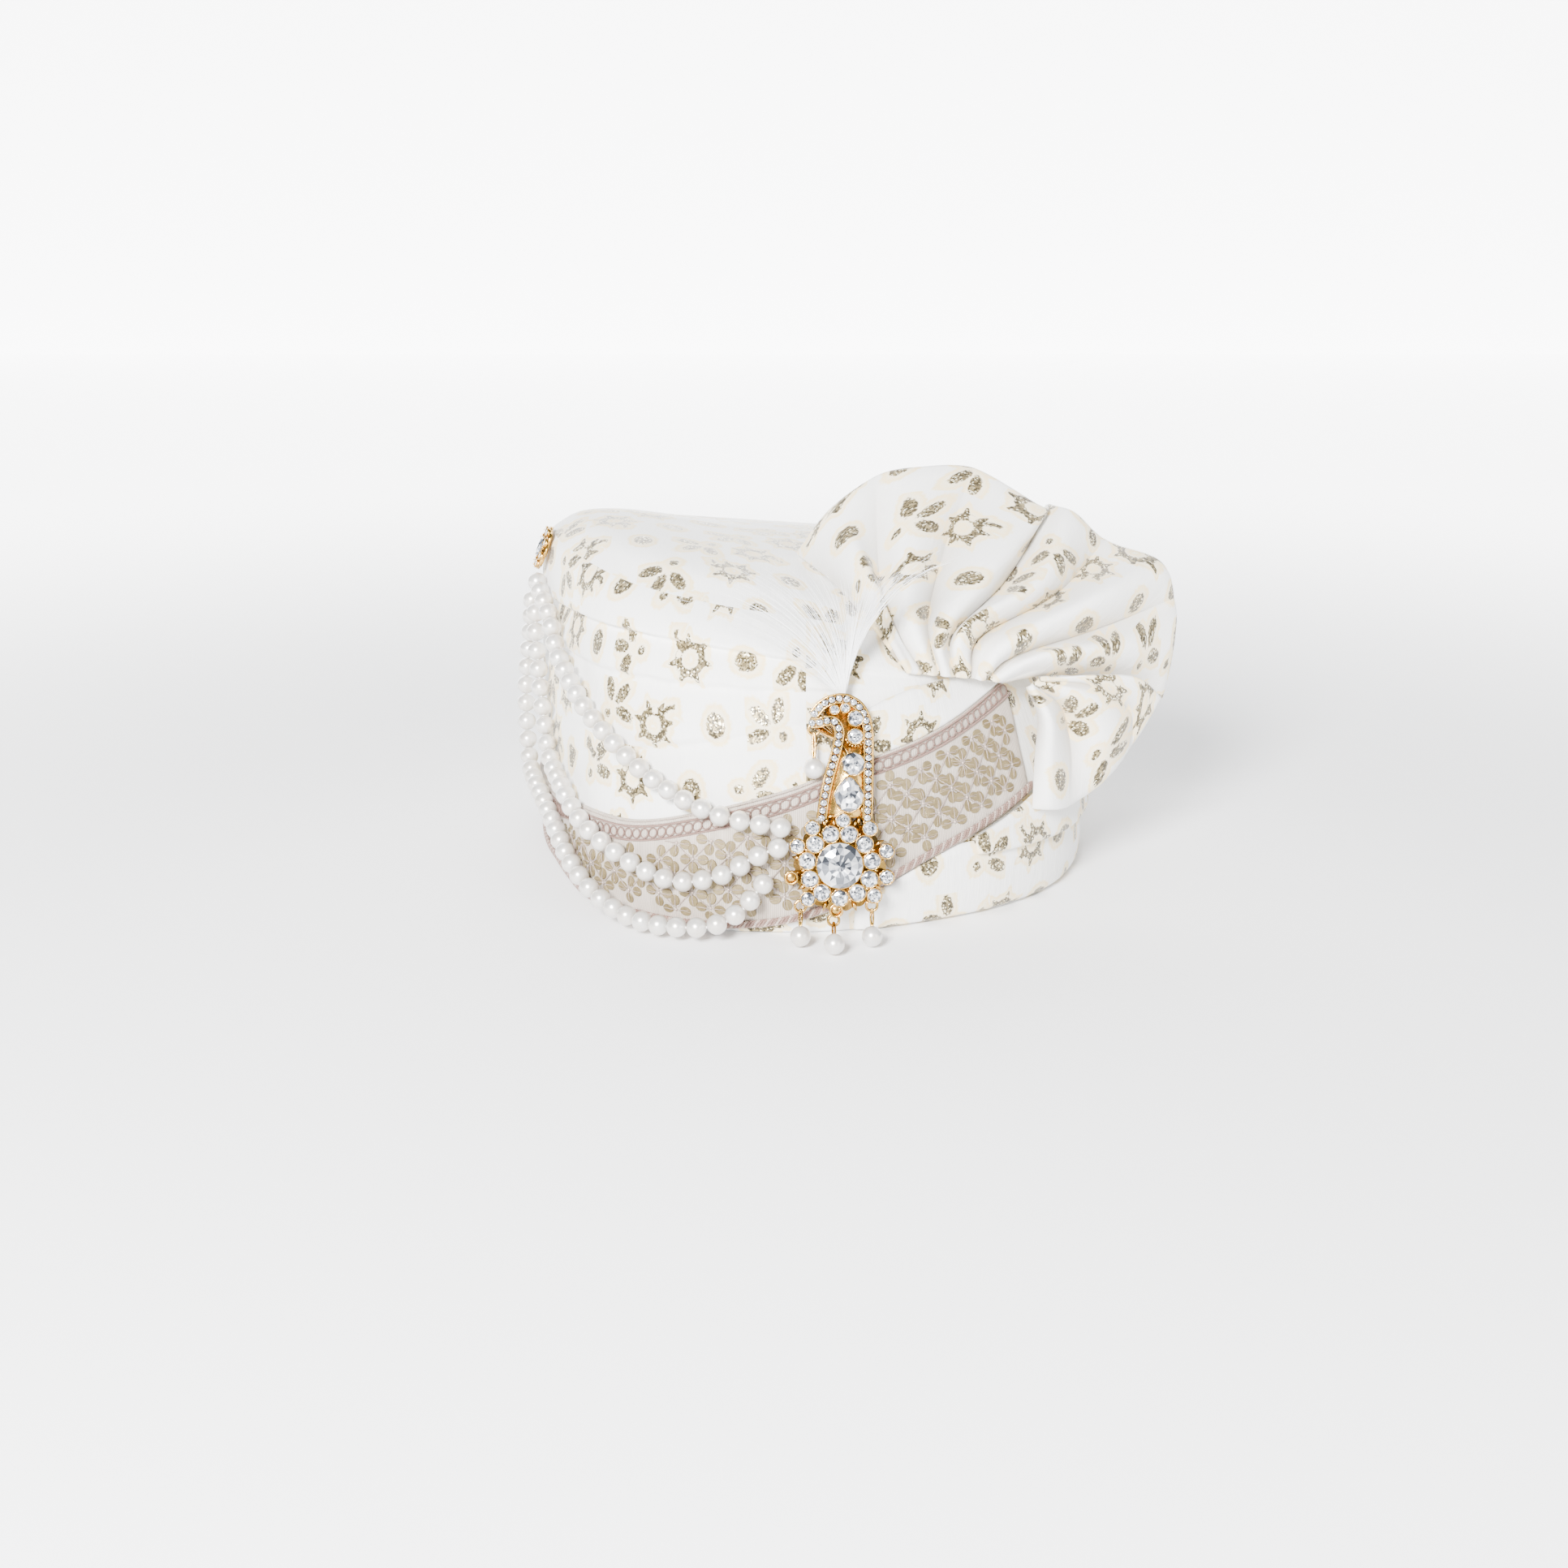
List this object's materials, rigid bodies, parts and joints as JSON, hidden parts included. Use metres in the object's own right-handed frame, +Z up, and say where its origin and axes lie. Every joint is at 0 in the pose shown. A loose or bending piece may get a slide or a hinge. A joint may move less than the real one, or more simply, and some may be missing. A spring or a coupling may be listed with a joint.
{
  "type": "tied turban pagri",
  "caption": "Tied white velvet wedding turban with a pleated fan, sequin band, pearl strands, gold stone-set brooch and feather plume; open hollow for the head.",
  "frame": {"origin": "under the middle of the whole turban's box, on the plane that its rim rests on", "axes": "+Z up, the wound front with the brooch faces -Y, the fan is towards +X"},
  "size_m": [0.2636, 0.2816, 0.1605],
  "materials": {
    "velvet_white": "white velvet with scattered gold glitter motifs",
    "band_cloth": "off-white cloth with tan-gold sequin flowers",
    "braid_rose": "braided metallised thread, rose gold",
    "gold": "polished gold-coloured metal with small clear stones",
    "crystal": "clear cut glass",
    "pearl": "satin imitation pearl",
    "feather_white": "white feather barbs"
  },
  "bodies": {
    "root": {"braid_high": "braid_rose", "braid_low": "braid_rose", "brooch": "gold", "crown_wrap": "velvet_white", "drop_hook": "pearl", "drop_left": "pearl", "drop_middle": "pearl", "drop_right": "pearl", "fan": "velvet_white", "fan_tail": "velvet_white", "front_layer": "velvet_white", "lower_wrap": "velvet_white", "pearl_strand_1": "pearl", "pearl_strand_2": "pearl", "pearl_strand_3": "pearl", "plume": "feather_white", "sequin_band": "band_cloth", "side_brooch": "gold", "side_stone_centre": "crystal", "stone_centre": "crystal", "stone_hook_high": "crystal", "stone_hook_left": "crystal", "stone_hook_right": "crystal", "stone_outer_1": "crystal", "stone_outer_2": "crystal", "stone_outer_3": "crystal", "stone_outer_4": "crystal", "stone_outer_5": "crystal", "stone_outer_6": "crystal", "stone_outer_7": "crystal", "stone_pear": "crystal", "stone_ring_1": "crystal", "stone_ring_10": "crystal", "stone_ring_11": "crystal", "stone_ring_2": "crystal", "stone_ring_3": "crystal", "stone_ring_4": "crystal", "stone_ring_5": "crystal", "stone_ring_6": "crystal", "stone_ring_7": "crystal", "stone_ring_8": "crystal", "stone_ring_9": "crystal", "stone_shaft_high": "crystal", "stone_shaft_low": "crystal", "stone_shaft_mid": "crystal", "upper_wrap": "velvet_white"}
  },
  "joints": []
}
